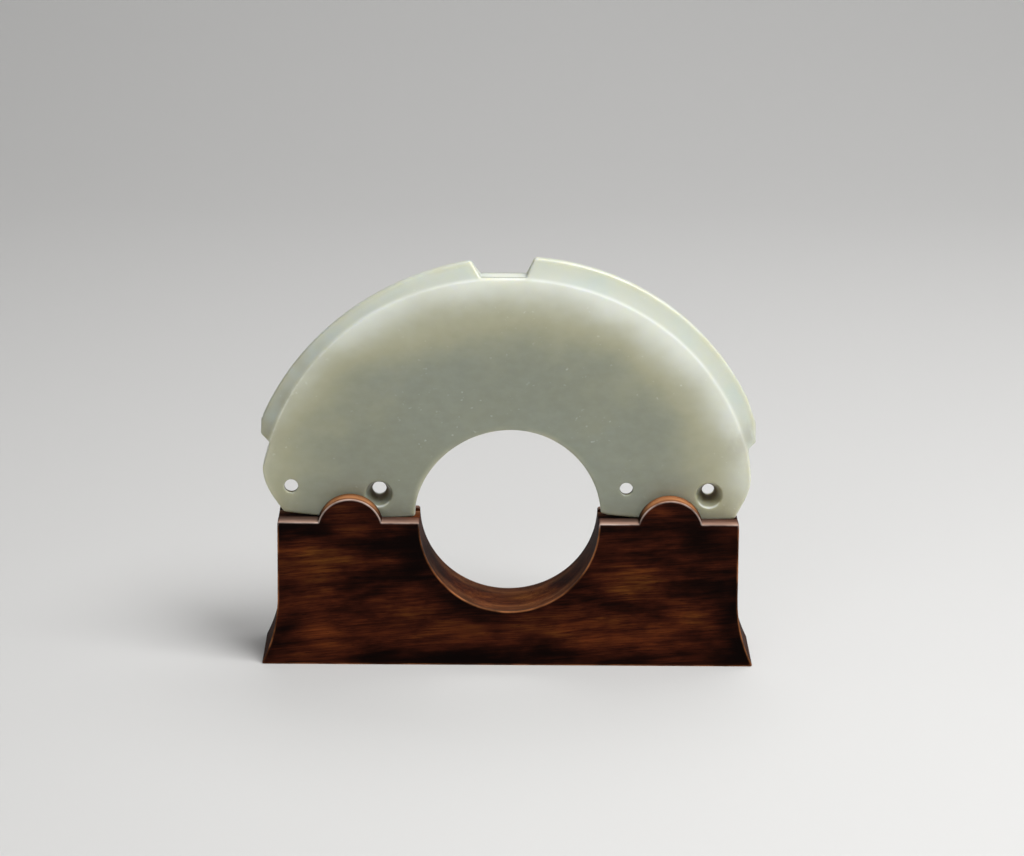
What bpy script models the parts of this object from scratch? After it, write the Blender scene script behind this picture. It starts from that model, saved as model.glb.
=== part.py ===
# Jade huang pendant standing in its hardwood stand.
# The jade is one carved piece: an arc-shaped plate with a thin flange along its outer edge.
# The stand is one block of wood: a round cut-out carries on the jade's inner arc, and lugs hold the jade upright.
# Metres, +Z up, X along the stand, the front of the pendant faces -Y, the stand's underside is at Z = 0.
import math

import bmesh
import bpy
from mathutils import Vector

MM = 0.001

# Jade plate
JADE_WIDTH = 120.0 * MM
JADE_THICKNESS = 6.9 * MM
RIDGE_THICKNESS = 6.4 * MM
RIM_THICKNESS = 2.2 * MM
FLANGE_WIDTH = 4.65 * MM
FLANGE_END_CUT = 4.35 * MM
RIM_SHIFT = 0.45 * MM
RIDGE_CENTRE_BELOW_ARC = 1.5 * MM
ARC_CENTRE_ABOVE_FEET = 0.1 * MM
FACE_ROLL_WIDTH = 12.0 * MM
BEVEL_HOLLOW = 0.18 * MM

# Stand block, which is as wide as the jade less what the jade hangs over at each end
CUTOUT_RADIUS = 21.7 * MM
CUTOUT_CENTRE_BELOW_TOP = 0.1 * MM
JADE_OVERHANG = 4.1 * MM
STAND_HEIGHT = 35.0 * MM
SIDE_FLARE = 3.95 * MM
SIDE_FLARE_HEIGHT = 16.5 * MM
FACE_SPREAD = 3.6 * MM
FACE_HOLLOW = 0.35 * MM

# Walls, groove and lugs that hold the jade
FRONT_WALL = 4.65 * MM
BACK_WALL = 2.55 * MM
GROOVE_DEPTH = 0.7 * MM
SIDE_GAP = 0.3 * MM
SEAT_GAP = 0.3 * MM
LUG_WIDTH = 15.3 * MM
LUG_HEIGHT = 5.8 * MM
LUG_SHIFT = 0.3 * MM

# Feet of the jade: the inner arc stands back a little from the cut-out, and the lower edges are slightly rounded
INNER_STEP = 0.7 * MM
FOOT_INSET = 0.6 * MM
FOOT_CORNER_RISE = 1.5 * MM
FOOT_SIDE_TILT = math.radians(21.0)
FOOT_SIDE_BOW = 0.85 * MM
LEFT_FOOT_LOW_SHIFT = -5.0 * MM
LEFT_FOOT_RADIUS = 141.0 * MM
RIGHT_FOOT_LOW_SHIFT = 6.0 * MM
RIGHT_FOOT_RADIUS = 200.0 * MM
FOOT_INNER_ROUND = 0.8 * MM
FOOT_OUTER_ROUND = 1.3 * MM
FOOT_SHOULDER_ROUND = 3.0 * MM

# Flange: its two lower ends, its tips and the notch near its top
LEFT_END_RISE = 18.7 * MM
RIGHT_END_RISE = 17.25 * MM
END_SLOPE = math.radians(40.0)
TIP_ROUND = 1.3 * MM
ROOT_ROUND = 0.5 * MM
NOTCH_X = -1.9 * MM
NOTCH_FLOOR_WIDTH = 10.8 * MM
NOTCH_FLANK_TILT = math.radians(31.0)
NOTCH_CORNER_ROUND = 0.7 * MM

# Drilled holes: each is a funnel from one face that ends in a short narrow bore at the other
HOLE_LIP = 1.8 * MM
MOUTH_DIAMETER = 6.4 * MM
LEFT_BORE = 3.4 * MM
RIGHT_BORE = 3.1 * MM
# Outer holes are placed from the foot's outer corner and inner holes from the inner arc
LEFT_OUTER_HOLE_INSET = 2.7 * MM
LEFT_OUTER_HOLE_RISE = 7.9 * MM
LEFT_INNER_HOLE_INSET = 8.8 * MM
LEFT_INNER_HOLE_RISE = 5.9 * MM
RIGHT_INNER_HOLE_INSET = 6.0 * MM
RIGHT_INNER_HOLE_RISE = 7.6 * MM
RIGHT_OUTER_HOLE_INSET = 6.6 * MM
RIGHT_OUTER_HOLE_RISE = 6.1 * MM

# Fineness of the curves
ARC_STEP = math.radians(3.0)
FILLET_STEP = math.radians(18.0)
SHARP_ANGLE = math.radians(25.0)
TURN_STEPS = 120
FACE_STEPS = 4
BORE_SIDES = 24
SECTION_STEPS = 6
CUT_MARGIN = 4.0 * MM
DISC_MARGIN = 1.0 * MM
WELD = 1e-6

# Heights, planes and radii that follow from the sizes above
groove_floor = STAND_HEIGHT - GROOVE_DEPTH
jade_foot = groove_floor + SEAT_GAP
arc_centre = jade_foot + ARC_CENTRE_ABOVE_FEET
ridge_centre = arc_centre - RIDGE_CENTRE_BELOW_ARC
rim_radius = JADE_WIDTH / 2 + FLANGE_END_CUT
ridge_radius = rim_radius - FLANGE_WIDTH + RIDGE_CENTRE_BELOW_ARC
inner_radius = CUTOUT_RADIUS + INNER_STEP
cutout_centre = STAND_HEIGHT - CUTOUT_CENTRE_BELOW_TOP
half_top_width = JADE_WIDTH / 2 - JADE_OVERHANG
foot_corner_x = half_top_width - FOOT_INSET
foot_middle_x = (inner_radius + foot_corner_x) / 2
top_depth = FRONT_WALL + SIDE_GAP + JADE_THICKNESS + SIDE_GAP + BACK_WALL
base_depth = top_depth + 2 * FACE_SPREAD
groove_front = FRONT_WALL - top_depth / 2
groove_back = top_depth / 2 - BACK_WALL
jade_front = groove_front + SIDE_GAP
jade_back = groove_back - SIDE_GAP
jade_middle = (jade_front + jade_back) / 2
# Each hole: its place along X, its height above the arc's centre, its bore, and whether the funnel opens to the front
holes = [
    (-foot_corner_x + LEFT_OUTER_HOLE_INSET, LEFT_OUTER_HOLE_RISE, LEFT_BORE, False),
    (-inner_radius - LEFT_INNER_HOLE_INSET, LEFT_INNER_HOLE_RISE, LEFT_BORE, True),
    (inner_radius + RIGHT_INNER_HOLE_INSET, RIGHT_INNER_HOLE_RISE, RIGHT_BORE, False),
    (foot_corner_x - RIGHT_OUTER_HOLE_INSET, RIGHT_OUTER_HOLE_RISE, RIGHT_BORE, True),
]


def circle_points(centre, radius, start, end):
    """Points of an arc between two points that lie on it, the shorter way round, both ends included."""
    first = math.atan2(start[1] - centre[1], start[0] - centre[0])
    last = math.atan2(end[1] - centre[1], end[0] - centre[0])
    turn = (last - first + math.pi) % (2 * math.pi) - math.pi
    return arc_points(centre, radius, first, turn)


def arc_points(centre, radius, first, turn):
    """Points of an arc from the angle first through the angle turn, both ends included."""
    steps = max(2, math.ceil(abs(turn) / ARC_STEP))
    angles = [first + turn * i / steps for i in range(steps + 1)]
    return [(centre[0] + radius * math.cos(a), centre[1] + radius * math.sin(a)) for a in angles]


def bowed_line(start, end, bow):
    """Points of a shallow arc between two points, bulging to the right of the way from start to end."""
    start, end = Vector(start), Vector(end)
    half = (end - start) / 2
    radius = (half.length_squared + bow * bow) / (2 * bow)
    leftward = Vector((-half.y, half.x)).normalized()
    centre = start + half + leftward * (radius - bow)
    return circle_points(tuple(centre), radius, tuple(start), tuple(end))


def line_meets_circle(point, direction, centre, radius):
    """Where a ray from the point first leaves the circle."""
    offset = Vector(point) - Vector(centre)
    direction = Vector(direction).normalized()
    along = offset.dot(direction)
    reach = math.sqrt(along * along - offset.length_squared + radius * radius)
    return tuple(Vector(point) + direction * (reach - along))


def circles_meet(centre_a, radius_a, centre_b, radius_b, side):
    """The crossing of two circles that lies on the given side in x, -1 or 1, nearest the feet."""
    a, b = Vector(centre_a), Vector(centre_b)
    gap = (b - a).length
    along = (gap * gap + radius_a * radius_a - radius_b * radius_b) / (2 * gap)
    across = math.sqrt(radius_a * radius_a - along * along)
    axis = (b - a) / gap
    normal = Vector((-axis.y, axis.x))
    hits = [a + axis * along + normal * across, a + axis * along - normal * across]
    return tuple(max(hits, key=lambda p: p.x * side))


def trimmed(run, length):
    """The run of points without its last stretch of the given length."""
    points = [Vector(p) for p in run]
    while len(points) > 1:
        last = points[-1] - points[-2]
        if last.length > length:
            points[-1] = points[-1] - last.normalized() * length
            return points
        length -= last.length
        points.pop()
    return points


def rounded_outline(runs):
    """Joins runs of points into one closed outline. Each run is (points, rounding of its last corner)."""
    paths = [[Vector(p) for p in points] for points, _ in runs]
    fillets = []
    for i, (_, radius) in enumerate(runs):
        after = (i + 1) % len(paths)
        into = (paths[i][-1] - paths[i][-2]).normalized()
        out = (paths[after][1] - paths[after][0]).normalized()
        fillets.append(corner_arc(paths[i][-1], into, out, radius))
    outline = []
    for i, path in enumerate(paths):
        length = fillets[i][0]
        before = fillets[i - 1][0]
        kept = trimmed(path, length) if length else path
        kept = trimmed(kept[::-1], before)[::-1] if before else kept
        outline += kept[:-1] if not length else kept
        outline += fillets[i][1]
    return [tuple(p) for p in outline]


def corner_arc(corner, into, out, radius):
    """How much a rounded corner takes from each side, and the points between its two ends."""
    turn = into.angle_signed(out)
    if radius == 0 or abs(turn) < ARC_STEP:
        return 0, []
    length = radius * math.tan(abs(turn) / 2)
    start = corner - into * length
    inward = Vector((into.y, -into.x)) * math.copysign(1, turn)
    centre = start + inward * radius
    steps = max(2, math.ceil(abs(turn) / FILLET_STEP))
    spoke = start - centre
    points = []
    for i in range(1, steps):
        angle = -turn * i / steps
        x = spoke.x * math.cos(angle) - spoke.y * math.sin(angle)
        z = spoke.x * math.sin(angle) + spoke.y * math.cos(angle)
        points.append(centre + Vector((x, z)))
    return length, points


def jade_side(side, low_shift, foot_radius, end_rise, notch_root_x):
    """Runs of one side of the jade from its foot to the notch. Side is 1 on the right and -1 on the left."""
    foot_centre = (side * (foot_middle_x + low_shift), jade_foot + foot_radius)
    ridge = (0, ridge_centre)
    inner, rim = (0, arc_centre), (RIM_SHIFT, arc_centre)
    corner_z = arc_centre + FOOT_CORNER_RISE
    slope = (side * math.sin(FOOT_SIDE_TILT), math.cos(FOOT_SIDE_TILT))
    down = (-slope[0], -slope[1])
    inner_foot = circles_meet(foot_centre, foot_radius, inner, inner_radius, side)
    outer_foot = line_meets_circle((side * foot_corner_x, corner_z), down, foot_centre, foot_radius)
    shoulder = line_meets_circle((side * foot_corner_x, corner_z), slope, ridge, ridge_radius)
    if side > 0:
        foot_side = bowed_line(outer_foot, shoulder, FOOT_SIDE_BOW)
    else:
        foot_side = bowed_line(shoulder, outer_foot, FOOT_SIDE_BOW)[::-1]
    root_z = arc_centre + end_rise
    root = (side * math.sqrt(ridge_radius**2 - (root_z - ridge_centre) ** 2), root_z)
    tip_x = side * JADE_WIDTH / 2
    tip = (tip_x, root_z + (abs(tip_x) - abs(root[0])) * math.tan(END_SLOPE))
    trim_top = (tip_x, arc_centre + math.sqrt(rim_radius**2 - (tip_x - RIM_SHIFT) ** 2))
    notch_root = (notch_root_x, ridge_centre + math.sqrt(ridge_radius**2 - notch_root_x**2))
    flank = (side * math.sin(NOTCH_FLANK_TILT), math.cos(NOTCH_FLANK_TILT))
    notch_top = line_meets_circle(notch_root, flank, rim, rim_radius)
    return [
        (circle_points(foot_centre, foot_radius, inner_foot, outer_foot), FOOT_OUTER_ROUND),
        (foot_side, FOOT_SHOULDER_ROUND),
        (circle_points(ridge, ridge_radius, shoulder, root), ROOT_ROUND),
        ([root, tip], TIP_ROUND),
        ([tip, trim_top], TIP_ROUND),
        (circle_points(rim, rim_radius, trim_top, notch_top), NOTCH_CORNER_ROUND),
        ([notch_top, notch_root], ROOT_ROUND),
    ]


def turned_back(runs, first_round):
    """The same runs in the other direction, with each corner's rounding kept at its corner."""
    roundings = [first_round] + [radius for _, radius in runs[:-1]]
    return [(points[::-1], radius) for (points, _), radius in zip(reversed(runs), reversed(roundings))]


def jade_outline():
    """The jade seen from the front, counter-clockwise from the right foot's inner corner."""
    half_notch = NOTCH_FLOOR_WIDTH / 2
    right_root, left_root = NOTCH_X + half_notch, NOTCH_X - half_notch
    right = jade_side(1, RIGHT_FOOT_LOW_SHIFT, RIGHT_FOOT_RADIUS, RIGHT_END_RISE, right_root)
    left = jade_side(-1, LEFT_FOOT_LOW_SHIFT, LEFT_FOOT_RADIUS, LEFT_END_RISE, left_root)
    floor = circle_points((0, ridge_centre), ridge_radius, right[-1][0][-1], left[-1][0][-1])
    left_foot, right_foot = left[0][0][0], right[0][0][0]
    start = math.atan2(left_foot[1] - arc_centre, left_foot[0])
    end = math.atan2(right_foot[1] - arc_centre, right_foot[0])
    inner = arc_points((0, arc_centre), inner_radius, start % (2 * math.pi), end - start % (2 * math.pi))
    runs = right + [(floor, ROOT_ROUND)] + turned_back(left, FOOT_INNER_ROUND)
    return rounded_outline(runs + [(inner, FOOT_INNER_ROUND)])


def face_half_thickness(radius):
    """Half the jade's thickness at a distance from the ridge's centre."""
    roll_start = ridge_radius - FACE_ROLL_WIDTH
    flat, ridge, rim = JADE_THICKNESS / 2, RIDGE_THICKNESS / 2, RIM_THICKNESS / 2
    if radius <= roll_start:
        return flat
    if radius <= ridge_radius:
        return flat - (flat - ridge) * ((radius - roll_start) / FACE_ROLL_WIDTH) ** 2
    share = (radius - ridge_radius) / FLANGE_WIDTH
    return ridge + (rim - ridge) * share - 4 * BEVEL_HOLLOW * share * max(0, 1 - share)


def half_depth(z):
    """Half the stand's depth at a height: its front and back faces spread downwards in a slight hollow."""
    share = min(1, max(0, 1 - z / STAND_HEIGHT))
    return top_depth / 2 + FACE_SPREAD * share - 4 * FACE_HOLLOW * share * (1 - share)


def lug_points(x):
    """The rounded top of one lug, from its right end to its left end."""
    radius = (LUG_WIDTH**2 / 4 + LUG_HEIGHT**2) / (2 * LUG_HEIGHT)
    centre = (x, STAND_HEIGHT + LUG_HEIGHT - radius)
    spread = math.asin(LUG_WIDTH / 2 / radius)
    return arc_points(centre, radius, math.pi / 2 - spread, 2 * spread)


def stand_outline():
    """The stand seen from the front, counter-clockwise from its lower left corner."""
    flare_radius = (SIDE_FLARE_HEIGHT**2 + SIDE_FLARE**2) / (2 * SIDE_FLARE)
    sweep = math.asin(SIDE_FLARE_HEIGHT / flare_radius)
    flare_x = half_top_width + flare_radius
    right_flare = arc_points((flare_x, SIDE_FLARE_HEIGHT), flare_radius, math.pi + sweep, -sweep)
    left_flare = arc_points((-flare_x, SIDE_FLARE_HEIGHT), flare_radius, 0, -sweep)
    corner_x = math.sqrt(CUTOUT_RADIUS**2 - CUTOUT_CENTRE_BELOW_TOP**2)
    lean = math.atan2(CUTOUT_CENTRE_BELOW_TOP, corner_x)
    cutout = arc_points((0, cutout_centre), CUTOUT_RADIUS, lean, -math.pi - 2 * lean)
    top_right, top_left = (half_top_width, STAND_HEIGHT), (-half_top_width, STAND_HEIGHT)
    return (
        right_flare
        + [top_right]
        + lug_points(foot_middle_x + LUG_SHIFT)
        + cutout
        + lug_points(-foot_middle_x + LUG_SHIFT)
        + [top_left]
        + left_flare
    )


def stand_section():
    """The stand seen from its end, with both walls up to the lugs' height and the groove between them."""
    lug_top = STAND_HEIGHT + LUG_HEIGHT + CUT_MARGIN
    heights = [STAND_HEIGHT * i / SECTION_STEPS for i in range(SECTION_STEPS + 1)]
    front = [(-half_depth(z), z) for z in heights]
    back = [(-y, z) for y, z in reversed(front)]
    front_wall = [(front[-1][0], lug_top), (groove_front, lug_top)]
    groove = [(groove_front, groove_floor), (groove_back, groove_floor)]
    back_wall = [(groove_back, lug_top), (back[0][0], lug_top)]
    return front + front_wall + groove + back_wall + back


def extruded(name, outline, half_length, rotation, collection):
    """A closed mesh object from a flat outline, extruded both ways by half its length."""
    curve = bpy.data.curves.new(name, "CURVE")
    curve.dimensions = "2D"
    curve.fill_mode = "BOTH"
    curve.extrude = half_length
    spline = curve.splines.new("POLY")
    spline.points.add(len(outline) - 1)
    for point, (x, y) in zip(spline.points, outline):
        point.co = (x, y, 0, 1)
    spline.use_cyclic_u = True
    source = bpy.data.objects.new(name + "_curve", curve)
    source.rotation_euler = rotation
    collection.objects.link(source)
    bpy.context.view_layer.update()
    graph = bpy.context.evaluated_depsgraph_get()
    mesh = bpy.data.meshes.new_from_object(source.evaluated_get(graph))
    matrix = source.matrix_world.copy()
    bpy.data.objects.remove(source)
    shape = bmesh.new()
    shape.from_mesh(mesh)
    bmesh.ops.remove_doubles(shape, verts=shape.verts, dist=WELD)
    bmesh.ops.recalc_face_normals(shape, faces=shape.faces)
    shape.to_mesh(mesh)
    shape.free()
    piece = bpy.data.objects.new(name, mesh)
    piece.matrix_world = matrix
    collection.objects.link(piece)
    return piece


def as_cutter(piece):
    piece.hide_render = True
    piece.display_type = "WIRE"
    return piece


def turned(name, profile, steps, collection):
    """A closed solid turned about its own Z axis. The profile runs from the top of the axis round to its bottom."""
    mesh = bpy.data.meshes.new(name)
    edges = [(i, i + 1) for i in range(len(profile) - 1)]
    mesh.from_pydata([(radius, 0, height) for radius, height in profile], edges, [])
    piece = bpy.data.objects.new(name, mesh)
    collection.objects.link(piece)
    screw = piece.modifiers.new("turn", "SCREW")
    screw.axis = "Z"
    screw.steps = steps
    screw.render_steps = steps
    screw.use_merge_vertices = True
    screw.merge_threshold = 1e-5
    return as_cutter(piece)


def face_disc(collection):
    """The jade's two faces, with their roll to the ridge and the flange's bevels, as one turned disc."""
    roll_start = ridge_radius - FACE_ROLL_WIDTH
    outer = rim_radius + RIDGE_CENTRE_BELOW_ARC + DISC_MARGIN
    radii = [0, roll_start]
    radii += [roll_start + FACE_ROLL_WIDTH * (i + 1) / FACE_STEPS for i in range(FACE_STEPS)]
    radii += [ridge_radius + (outer - ridge_radius) * (i + 1) / FACE_STEPS for i in range(FACE_STEPS)]
    front = [(r, face_half_thickness(r)) for r in radii]
    back = [(r, -half) for r, half in reversed(front)]
    disc = turned("jade_faces", front + back, TURN_STEPS, collection)
    disc.rotation_euler = (math.pi / 2, 0, 0)
    disc.location = (0, jade_middle, ridge_centre)
    return disc


def boolean(piece, cutter, operation):
    modifier = piece.modifiers.new(cutter.name, "BOOLEAN")
    modifier.operation = operation
    modifier.solver = "EXACT"
    modifier.object = cutter


def drill(index, x, rise, bore, opens_to_front, collection):
    """The tool for one hole: a funnel from one face that ends in a short straight bore through the other."""
    funnel_depth = JADE_THICKNESS - HOLE_LIP
    widening = (MOUTH_DIAMETER - bore) / 2 / funnel_depth
    far_end = JADE_THICKNESS + CUT_MARGIN
    wide_end = MOUTH_DIAMETER / 2 + widening * CUT_MARGIN
    profile = [(0, CUT_MARGIN), (wide_end, CUT_MARGIN), (bore / 2, -funnel_depth)]
    profile += [(bore / 2, -far_end), (0, -far_end)]
    tool = turned(f"drill_{index}", profile, BORE_SIDES, collection)
    # The tool's own +Z, its wide end, is turned out of the face that the funnel opens to.
    tool.rotation_euler = (math.pi / 2 if opens_to_front else -math.pi / 2, 0, 0)
    tool.location = (x, jade_front if opens_to_front else jade_back, arc_centre + rise)
    return tool


def finish_material(name, colour, roughness):
    material = bpy.data.materials.new(name)
    material.use_nodes = True
    shader = material.node_tree.nodes["Principled BSDF"]
    shader.inputs["Base Color"].default_value = (*colour, 1)
    shader.inputs["Roughness"].default_value = roughness
    shader.inputs["Metallic"].default_value = 0
    return material


def make_jade(parts, cutters):
    face_on = (math.pi / 2, 0, 0)
    jade = extruded("jade_huang", jade_outline(), JADE_THICKNESS, face_on, parts)
    jade.location = (0, jade_middle, 0)
    boolean(jade, face_disc(cutters), "INTERSECT")
    for index, hole in enumerate(holes):
        boolean(jade, drill(index, *hole, cutters), "DIFFERENCE")
    jade.data.materials.append(finish_material("celadon_jade", (0.50, 0.53, 0.41), 0.3))
    return jade


def make_stand(parts, cutters):
    length_wise = (math.pi / 2, 0, math.pi / 2)
    face_on = (math.pi / 2, 0, 0)
    half_length = half_top_width + SIDE_FLARE + CUT_MARGIN
    stand = extruded("wood_stand", stand_section(), half_length, length_wise, parts)
    front_shape = extruded("stand_front_shape", stand_outline(), base_depth, face_on, cutters)
    boolean(stand, as_cutter(front_shape), "INTERSECT")
    stand.data.materials.append(finish_material("dark_hardwood", (0.055, 0.018, 0.010), 0.28))
    return stand


def main():
    for old in list(bpy.data.objects):
        bpy.data.objects.remove(old)
    parts = bpy.data.collections.new("jade_huang_on_stand")
    cutters = bpy.data.collections.new("cutters")
    bpy.context.scene.collection.children.link(parts)
    bpy.context.scene.collection.children.link(cutters)
    for piece in (make_jade(parts, cutters), make_stand(parts, cutters)):
        piece.data.shade_smooth()
        piece.data.set_sharp_from_angle(angle=SHARP_ANGLE)


main()
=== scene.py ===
import math

import bmesh
import bpy
import numpy as np
from mathutils import Euler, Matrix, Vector
from mathutils.geometry import delaunay_2d_cdt


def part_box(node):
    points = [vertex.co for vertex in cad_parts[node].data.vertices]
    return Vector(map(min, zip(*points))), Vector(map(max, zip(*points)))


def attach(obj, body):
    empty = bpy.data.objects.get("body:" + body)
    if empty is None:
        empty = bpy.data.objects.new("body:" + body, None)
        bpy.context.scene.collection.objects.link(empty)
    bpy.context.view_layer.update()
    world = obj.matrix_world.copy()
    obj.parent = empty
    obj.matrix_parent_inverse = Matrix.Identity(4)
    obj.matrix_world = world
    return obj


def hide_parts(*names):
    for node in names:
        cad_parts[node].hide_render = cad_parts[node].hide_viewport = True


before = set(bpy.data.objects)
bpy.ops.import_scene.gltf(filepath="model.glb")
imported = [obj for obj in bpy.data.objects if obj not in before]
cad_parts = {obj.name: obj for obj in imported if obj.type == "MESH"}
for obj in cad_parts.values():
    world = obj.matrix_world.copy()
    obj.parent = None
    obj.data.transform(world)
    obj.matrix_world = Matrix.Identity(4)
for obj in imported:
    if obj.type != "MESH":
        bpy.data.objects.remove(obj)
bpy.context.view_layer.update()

mm = 0.001
batch = 1500  # points measured at a time
jadeLow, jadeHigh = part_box("jade_huang")
standLow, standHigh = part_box("wood_stand")


# Outlines are arrays of (x, z) in millimetres, counter-clockwise seen from the front.
def arcRun(centre, radius, first, last, step=0.35):
    # angles in degrees, both ends included
    count = max(2, math.ceil(abs(math.radians(last - first)) * radius / step))
    angles = np.radians(np.linspace(first, last, count + 1))
    return np.stack([centre[0] + radius * np.cos(angles), centre[1] + radius * np.sin(angles)], 1)


def lineRun(start, end, step=0.35):
    start, end = np.array(start, float), np.array(end, float)
    count = max(1, math.ceil(np.linalg.norm(end - start) / step))
    return start + np.linspace(0, 1, count + 1)[:, None] * (end - start)


def bowedRun(start, end, bow, lean=0.5, step=0.35):
    # a line that bulges to the right of its way, most at the share lean of its length
    points = lineRun(start, end, step)
    share = np.linspace(0, 1, len(points))
    power = math.log(0.5) / math.log(lean)
    way = (points[-1] - points[0]) / np.linalg.norm(points[-1] - points[0])
    return points + (bow * np.sin(math.pi * share**power))[:, None] * np.array([way[1], -way[0]])


def joinedOutline(runs, step=0.12, clear=0.03):
    # runs: list of (points, rounding of the corner at the run's end)
    ends = []
    for i, (points, radius) in enumerate(runs):
        following = runs[(i + 1) % len(runs)][0]
        ends.append(cornerArc(points, following, radius, step))
    outline = []
    for i, (points, _) in enumerate(runs):
        cutEnd, arc = ends[i]
        cutStart = ends[i - 1][0]
        along = np.concatenate([[0], np.cumsum(np.linalg.norm(np.diff(points, axis=0), axis=1))])
        keep = (along > cutStart + clear) & (along < along[-1] - cutEnd - clear)
        outline += [points[keep], arc]
    return np.concatenate(outline)


def cornerArc(points, following, radius, step):
    corner = points[-1]
    into = corner - points[max(0, len(points) - 4)]
    out = following[min(3, len(following) - 1)] - following[0]
    into, out = into / np.linalg.norm(into), out / np.linalg.norm(out)
    turn = math.atan2(into[0] * out[1] - into[1] * out[0], into @ out)
    if radius == 0 or abs(turn) < math.radians(2):
        return 0, corner[None]
    cut = radius * math.tan(abs(turn) / 2)
    start = corner - into * cut
    side = math.copysign(1, turn)
    centre = start + side * radius * np.array([-into[1], into[0]])
    spoke = start - centre
    count = max(3, math.ceil(abs(turn) * radius / step))
    angles = np.linspace(0, turn, count + 1)
    x = spoke[0] * np.cos(angles) - spoke[1] * np.sin(angles)
    z = spoke[0] * np.sin(angles) + spoke[1] * np.cos(angles)
    return cut, centre + np.stack([x, z], 1)


def distanceTo(points, loops):
    # distance from each point to the nearest stretch of any closed loop
    nearest = np.full(len(points), 1e9)
    for loop in loops:
        start, run = loop, np.roll(loop, -1, 0) - loop
        lengthSquared = (run**2).sum(1) + 1e-12
        for first in range(0, len(points), batch):
            offset = points[first : first + batch, None] - start[None]
            share = np.clip((offset * run).sum(2) / lengthSquared, 0, 1)
            gap = np.sqrt(((offset - share[..., None] * run) ** 2).sum(2)).min(1)
            nearest[first : first + batch] = np.minimum(nearest[first : first + batch], gap)
    return nearest


def isInside(points, loop):
    inside = np.zeros(len(points), bool)
    ahead = np.roll(loop, -1, 0)
    for first in range(0, len(points), batch):
        part = points[first : first + batch]
        spans = (loop[None, :, 1] > part[:, None, 1]) != (ahead[None, :, 1] > part[:, None, 1])
        rise = ahead[:, 1] - loop[:, 1]
        slope = (ahead[:, 0] - loop[:, 0]) / np.where(rise == 0, 1e-12, rise)
        crossing = loop[:, 0] + (part[:, None, 1] - loop[None, :, 1]) * slope
        inside[first : first + batch] = (spans & (part[:, None, 0] < crossing)).sum(1) % 2 == 1
    return inside


def insetRows(loop, gaps, tolerance=0.97):
    # rows of points at set distances inside a loop, which carry the rounding of its edge
    ahead, behind = np.roll(loop, -1, 0) - loop, loop - np.roll(loop, 1, 0)
    tangent = ahead / np.linalg.norm(ahead, axis=1)[:, None]
    tangent += behind / np.linalg.norm(behind, axis=1)[:, None]
    tangent /= np.linalg.norm(tangent, axis=1)[:, None] + 1e-9
    normal = np.stack([-tangent[:, 1], tangent[:, 0]], 1)
    rows = []
    for gap in gaps:
        moved = loop + gap * normal
        rows.append(moved[distanceTo(moved, [loop]) > gap * tolerance])
    return rows


def planMesh(name, outline, holes, innerPoints, attributes):
    # a flat triangulated mesh of the plan at y = 0, facing the front, with its per-point values
    loops = [outline] + holes
    points = np.concatenate(loops + [innerPoints])
    starts = np.cumsum([0] + [len(loop) for loop in loops])
    faces = [list(range(starts[i], starts[i + 1])) for i in range(len(loops))]
    flat = [Vector((float(x), float(z))) for x, z in points]
    vertices, _, triangles, _, _, origins = delaunay_2d_cdt(flat, [], faces, 1, 1e-5)
    kept = [t for t, origin in zip(triangles, origins) if list(origin) == [0]]
    place = np.array([tuple(v) for v in vertices])
    mesh = bpy.data.meshes.new(name)
    mesh.from_pydata([(x * mm, 0, z * mm) for x, z in place], [], kept)
    values = attributes(place)
    for label, numbers in values.items():
        layer = mesh.attributes.new(label, "FLOAT", "POINT")
        layer.data.foreach_set("value", numbers.astype(np.float32))
    work = bmesh.new()
    work.from_mesh(mesh)
    bmesh.ops.delete(work, geom=[v for v in work.verts if not v.link_faces], context="VERTS")
    work.faces.ensure_lookup_table()
    if sum(f.normal.y for f in work.faces) > 0:
        bmesh.ops.reverse_faces(work, faces=work.faces)
    work.to_mesh(mesh)
    work.free()
    return mesh


def put(tree, kind, sockets=None, **settings):
    # a node with its settings; each socket named takes a number or another node's output
    node = tree.nodes.new(kind)
    for name, setting in settings.items():
        setattr(node, name, setting)
    for name, source in (sockets or {}).items():
        if isinstance(source, bpy.types.NodeSocket):
            tree.links.new(source, node.inputs[name])
        else:
            node.inputs[name].default_value = source
    return node


def maths(tree, operation, first, second=0.0, clamp=False):
    sockets = {0: first, 1: second}
    return put(tree, "ShaderNodeMath", sockets, operation=operation, use_clamp=clamp).outputs[0]


def vectorMaths(tree, operation, first, second):
    sockets = {0: first, 1: second}
    return put(tree, "ShaderNodeVectorMath", sockets, operation=operation).outputs[0]


def withSockets(tree, inputs, outputs):
    for way, sockets in (("INPUT", inputs), ("OUTPUT", outputs)):
        for label, kind in sockets.items():
            tree.interface.new_socket(label, in_out=way, socket_type="NodeSocket" + kind)
    return tree.nodes.new("NodeGroupInput").outputs, tree.nodes.new("NodeGroupOutput").inputs


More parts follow.
